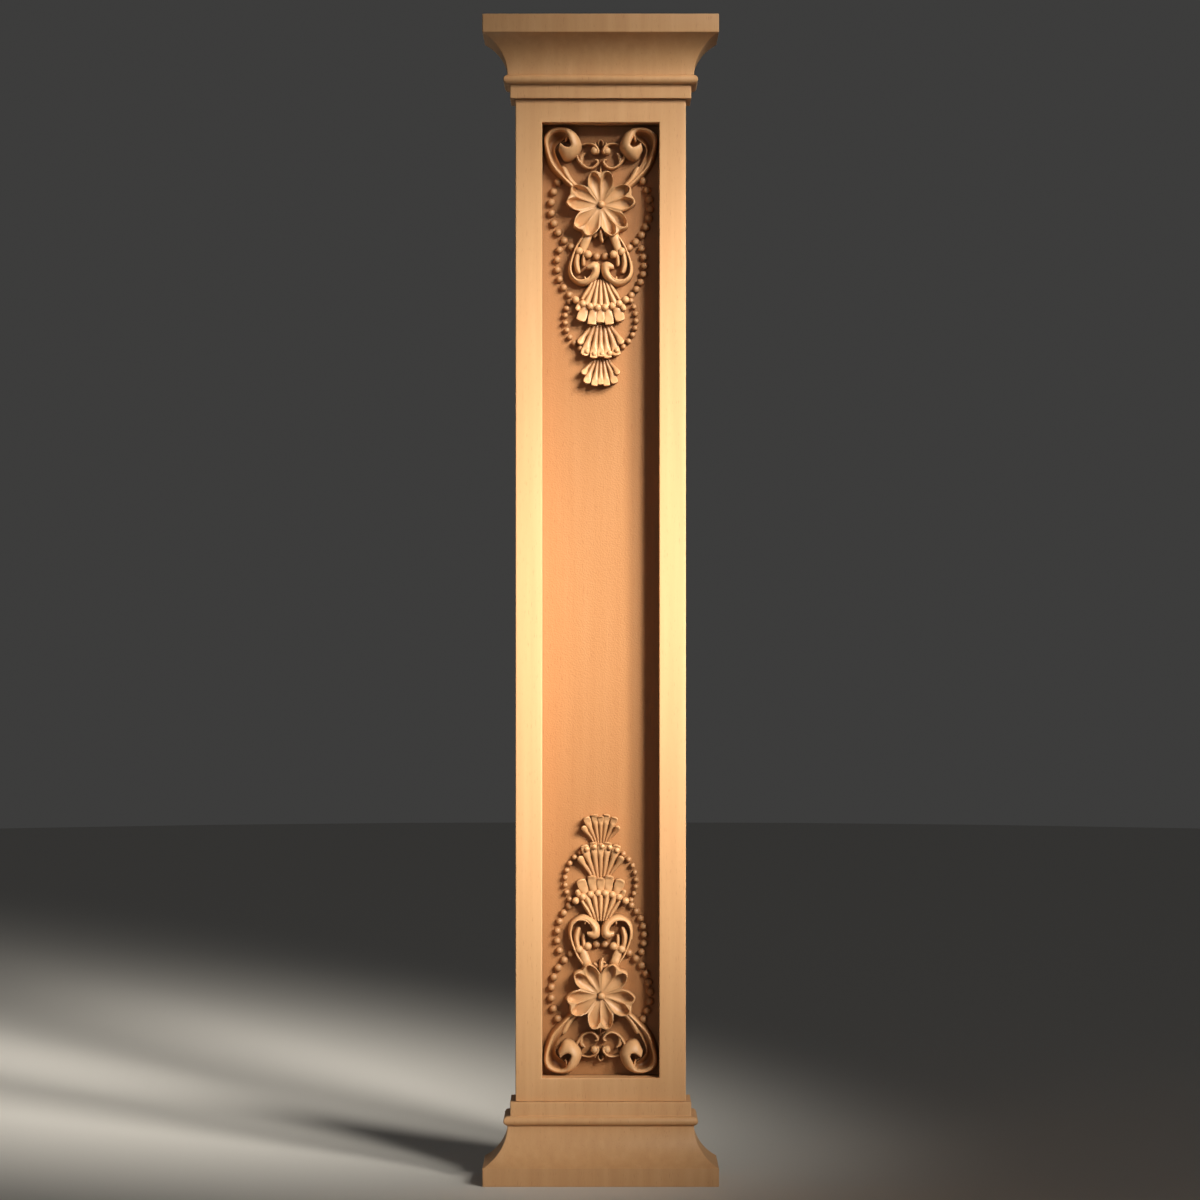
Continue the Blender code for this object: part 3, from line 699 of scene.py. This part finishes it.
def petal(relief, angle, lift):
    """A petal from s = 0 (root) to 1 (tip) and t = -1 to 1 across.

    Its sides are straight until it is full wide, and two round lobes end it. Height is
    that of a rim that rises towards the tip, less a bowl gouged inside the side rim, the
    end rim and the fold, which a lower ridge along the middle parts in two. The fold is a
    triangle between the lobes that slopes down outwards.
    """
    # The grid is closer together towards the tip and both sides
    s = np.linspace(0, 1, PETAL_GRID[0])[:, None] ** 0.8
    t = np.linspace(-math.pi / 2, math.pi / 2, PETAL_GRID[1])[None, :]
    t = 0.4 * np.sin(t) + 0.6 * t / (math.pi / 2)
    aside = np.abs(t)
    inner = PETAL_NOTCH + (PETAL_REACH - PETAL_NOTCH) * np.sin(math.pi * aside)
    round_off = (LOBE_ROUNDING * np.clip(2 * aside - 1, 0, 1)) ** LOBE_POWER
    outer = PETAL_REACH * (1 - round_off) ** (1 / LOBE_POWER)
    reach = np.where(aside < 0.5, inner, outer)
    length = PETAL_START + (reach - PETAL_START) * s
    straight = length[:, :1] * math.tan(math.pi / PETAL_COUNT) + 0.5 * PETAL_RIM
    half = soft_minimum((straight, np.full_like(straight, PETAL_HALF_WIDTH)), SIDE_SOFTNESS)
    breadth = t * half
    fold_length, fold_half = PETAL_FOLD
    past_fold = (reach - length) - fold_length * (1 - np.abs(breadth) / fold_half)
    past_fold /= math.hypot(1, fold_length / fold_half)
    side_gap, end_gap = (1 - aside) * half, reach - length
    inside = soft_minimum((side_gap - PETAL_RIM, end_gap - PETAL_RIM,
                           past_fold - FOLD_RIM_SHARE * PETAL_RIM), BOWL_SOFTNESS)
    parted = gouged(np.abs(breadth) - PETAL_RIDGE, RIDGE_GOUGE)
    scoop = gouged(inside, RIM_GOUGE) * (RIDGE_DROP + (1 - RIDGE_DROP) * parted)
    depth = PETAL_SCOOP * np.clip(s / SCOOP_FULL, 0, 1) ** SCOOP_POWER
    rim = PETAL_ROOT_HEIGHT + (PETAL_TIP_HEIGHT - PETAL_ROOT_HEIGHT) * s ** RIM_POWER
    edge_gap = np.minimum(side_gap, end_gap) / (EDGE_SHARE * PETAL_RIM)
    ease = EDGE_DROP * np.clip(1 - edge_gap, 0, 1) ** 2
    height = rim - scoop * depth - ease + PETAL_FOLD_DROP * np.minimum(past_fold, 0) + lift
    u = length * math.cos(angle) - breadth * math.sin(angle)
    v = length * math.sin(angle) + breadth * math.cos(angle)
    relief.patch(u, v, height, lean=PETAL_LEAN)


def fan(relief, neck, neck_half, start_height, end_height, size, outermost, ends, stepped):
    """Seven ribs that spread from a neck and flare into lobes that turn up at their ends.

    Along a rib, s = 0 at the hidden root and 1 at the end. Its half width grows from a
    share of the pitch at the neck to the lobe's, and its back flattens and is dished just
    before the end. stepped makes the lobes start lower than the ribs end, behind a string
    of beads.
    """
    s = np.linspace(0, 1, RIB_GRID[0])
    across = np.sin(np.linspace(-math.pi / 2, math.pi / 2, RIB_GRID[1]))
    pitch = neck_half / 3
    tall = end_height - start_height
    flare = start_height + tall * s ** FLARE_POWER
    rise = start_height + tall * (STEP_ROOT_SHARE + (1 - STEP_ROOT_SHARE) * s)
    drop = smooth_step((s - STEP_PLACE) / STEP_LENGTH)
    height = (1 - drop) * rise + drop * (flare - STEP_DROP) if stepped else flare
    side_share = np.interp(s, SIDE_STATIONS, SIDE_SHARES)[:, None]
    round_back = side_share + (1 - side_share) * np.sqrt(1 - across ** 2)
    dish = (smooth_step((s - DISH_START) / DISH_RUN_IN)
            * (1 - smooth_step((s - DISH_END) / DISH_RUN_OUT)))
    bend_u, bend_v = RIB_BEND
    for rib in range(-3, 4):
        side, order = (1 if rib > 0 else -1), abs(rib)
        end_u, end_v = ends[order]
        neck_u = pitch * order
        path = through(((side * neck_u * RIB_ROOT_SHARE, neck + RIB_ROOT_RISE),
                        (side * neck_u, neck),
                        (side * ((1 - bend_u) * neck_u + bend_u * end_u),
                         neck - bend_v * end_v),
                        (side * end_u, neck - end_v)), len(s))
        wide = outermost if order == 3 else LOBE_HALF_WIDTHS[order] * size
        width = np.interp(s, WIDTH_STATIONS, [part * pitch for part in PITCH_SHARES]
                          + [part * wide for part in LOBE_SHARES])
        share = round_back
        if order < 3:
            share = round_back - LOBE_DISH * dish[:, None] * (1 - across ** 2)
        relief.sweep(np.column_stack([path, width, height]), across, share,
                     end=LOBE_ENDS[order])


def bead_ring(relief, centre, ring_radius, bead_radius, count, left, right, turned, lifted):
    """Beads round a ring that is open at the top, at even spaces but for a slight turn of
    the whole and a slide of both sides towards the bottom, as sines along the string."""
    near, far, lift = lifted
    turns = np.linspace(90 + left, 450 - right, count)
    along = np.linspace(0, math.pi, count)
    turns += turned[0] * np.sin(along) + turned[1] * np.sin(2 * along)
    for turn in np.radians(turns):
        u = ring_radius * math.cos(turn)
        over = math.sin(turn) < 0 and near <= abs(u) <= far
        relief.bead(u, centre + ring_radius * math.sin(turn), bead_radius,
                    BEAD_HEIGHT + (lift if over else 0.0))


def ornament(name, turn, material):
    """The whole ornament; turn is 1 at the top of the shaft and -1 at its foot."""
    relief = Relief(turn)
    for mirror in (1, -1):
        relief.hollow(SCROLL_HOLLOW, mirror)
        relief.loft(SCROLL_RIM, mirror, count=150)
        relief.band(TONGUE, mirror=mirror, count=20)
        relief.band(SPUR, 0.6, mirror=mirror, start=1.2, end=0.0)
        relief.band(UPPER_CURL, mirror=mirror)
        relief.bead(BUD[0] * mirror, *BUD[1:], rings=9, sides=32)
        relief.band(BUD_POINT, mirror=mirror, count=16)
        relief.band(LOWER_CURL, mirror=mirror, count=80)
        relief.band(CURL_LEAF, 0.7, mirror=mirror, count=30)
        relief.loft(LEAF_BODY, mirror, count=110)
        relief.band(LEAF_RIM, 0.75, mirror=mirror, count=110)
        relief.band(LEAF_CUSP, 0.6, mirror=mirror, count=16)
        relief.band(LEAF_STEM, 0.75, mirror=mirror, end=0.0)
        relief.band(LONG_FINGER, 0.45, mirror=mirror, count=50)
        relief.band(SHORT_FINGER, 0.45, mirror=mirror)
    for points in SEPALS + (PENDANT, STEM, ARCH):
        relief.band(points, 0.45, start=0.6)
    for number in range(PETAL_COUNT):
        petal(relief, math.radians(90 + 360 * number / PETAL_COUNT), number * PETAL_LAP)
    relief.bead(*KNOB, rings=9, sides=32)
    for number, values in enumerate(FANS):
        fan(relief, *values, stepped=number == 0)
    for values in BEAD_RINGS:
        bead_ring(relief, *values)
    return relief.build(name, material)


# Studio, in metres. The picture is 1200 pixels square, and the shaft's front is as far from
# the lens as 3200 of its pixels are wide.
PICTURE_SIZE = 1200
LENS_DISTANCE_PIXELS = 3200
SHAFT_WIDTH_PIXELS = 170.4
# How far the lens stands off the pilaster's axis, to the right and up
LENS_SHIFT = (-0.0005, 0.0002)
FLOOR_RADIUS = 4.0
FLOOR_SIDES = 64
WORLD_STRENGTH = 0.06
# The soft key: its direction and distance from the middle, each lamp's radius and cone in
# degrees, the power of all four, half the side of their square, the square's direction in
# plan, and how far above the middle they are aimed
KEY_DIRECTION = (0.585, -0.66, 0.47)
KEY_DISTANCE = 2.2
KEY_RADIUS = 0.28
KEY_CONE = 15.5
KEY_POWER = 1260.0
KEY_SPREAD = 0.26
KEY_ACROSS = (0.8, 0.6)
KEY_AIM_LIFT = 0.015
FILL_PLACE = (-0.9, -2.0, 0.7)
FILL_POWER = 2.5
FILL_SIZE = 1.4


def camera():
    """Straight on, level with the middle of the shaft."""
    data = bpy.data.cameras.new("camera")
    data.angle = 2 * math.atan(PICTURE_SIZE / 2 / LENS_DISTANCE_PIXELS)
    data.clip_start = 0.05
    made = bpy.data.objects.new("camera", data)
    distance = LENS_DISTANCE_PIXELS * SHAFT_WIDTH / SHAFT_WIDTH_PIXELS
    made.location = (LENS_SHIFT[0], FRONT_Y - distance, MIDDLE + LENS_SHIFT[1])
    made.rotation_euler = (math.radians(90), 0, 0)
    bpy.context.scene.collection.objects.link(made)
    bpy.context.scene.camera = made


def lamp(name, kind, place, target, power, code, **settings):
    """A light aimed at a point."""
    data = bpy.data.lights.new(name, kind)
    data.energy = power
    data.color = linear(code)[:3]
    for setting, value in settings.items():
        setattr(data, setting, value)
    made = bpy.data.objects.new(name, data)
    made.location = place
    direction = np.array(target) - np.array(place)
    flat = math.hypot(direction[0], direction[1])
    made.rotation_euler = (math.atan2(flat, -direction[2]), 0,
                           math.atan2(direction[1], direction[0]) - math.pi / 2)
    bpy.context.scene.collection.objects.link(made)


def studio():
    """A pale floor, a soft key light from the upper right, and a weak fill from the left."""
    turn = np.linspace(0, 2 * math.pi, FLOOR_SIDES, endpoint=False)
    data = bpy.data.meshes.new("studio_floor")
    data.from_pydata([(FLOOR_RADIUS * math.cos(a), FLOOR_RADIUS * math.sin(a), 0.0)
                      for a in turn], [], [list(range(FLOOR_SIDES))])
    floor = bpy.data.objects.new("studio_floor", data)
    bpy.context.scene.collection.objects.link(floor)
    paper = bpy.data.materials.new("matt_paper")
    paper.use_nodes = True
    shader = paper.node_tree.nodes["Principled BSDF"]
    shader.inputs["Base Color"].default_value = linear("#D9D7D3")
    shader.inputs["Roughness"].default_value = 0.9
    data.materials.append(paper)
    world = bpy.data.worlds.new("studio")
    world.use_nodes = True
    background = world.node_tree.nodes["Background"]
    background.inputs["Color"].default_value = linear("#E4E3E1")
    background.inputs["Strength"].default_value = WORLD_STRENGTH
    bpy.context.scene.world = world
    middle = np.array((0.0, FRONT_Y, MIDDLE))
    aim = middle + (0.0, 0.0, KEY_AIM_LIFT)
    place = middle + KEY_DISTANCE * np.array(KEY_DIRECTION)
    # The soft key is four lamps in a square, each with its pool on the middle
    for across in (-KEY_SPREAD, KEY_SPREAD):
        for up in (-KEY_SPREAD, KEY_SPREAD):
            corner = place + (KEY_ACROSS[0] * across, KEY_ACROSS[1] * across, up)
            lamp("key", "SPOT", corner, aim, KEY_POWER / 4, "#FFF8EC",
                 spot_size=math.radians(KEY_CONE), spot_blend=1.0,
                 shadow_soft_size=KEY_RADIUS)
    lamp("fill", "AREA", FILL_PLACE, middle, FILL_POWER, "#FFF4E6", size=FILL_SIZE)
    bpy.context.scene.view_settings.view_transform = "Standard"


def main():
    """The camera and the lights, the three materials and the five pieces."""
    camera()
    studio()
    planed = satin_beech("satin_beech")
    # The carving and the ground get painted shade, darker towards the ground of the field
    carved = satin_beech("carved_beech", painted_shade=RECESS_PAINTED_SHADE)
    ground = satin_beech("stippled_beech", stipple=STIPPLE_STRENGTH, painted_shade=GROUND_PAINTED_SHADE)
    moulding("base_moulding", 0.0, 1, planed, "base")
    moulding("capital_moulding", TOTAL_HEIGHT, -1, planed, "capital")
    shaft_board(planed, carved, ground)
    ornament("upper_ornament", 1, carved)
    ornament("lower_ornament", -1, carved)


main()
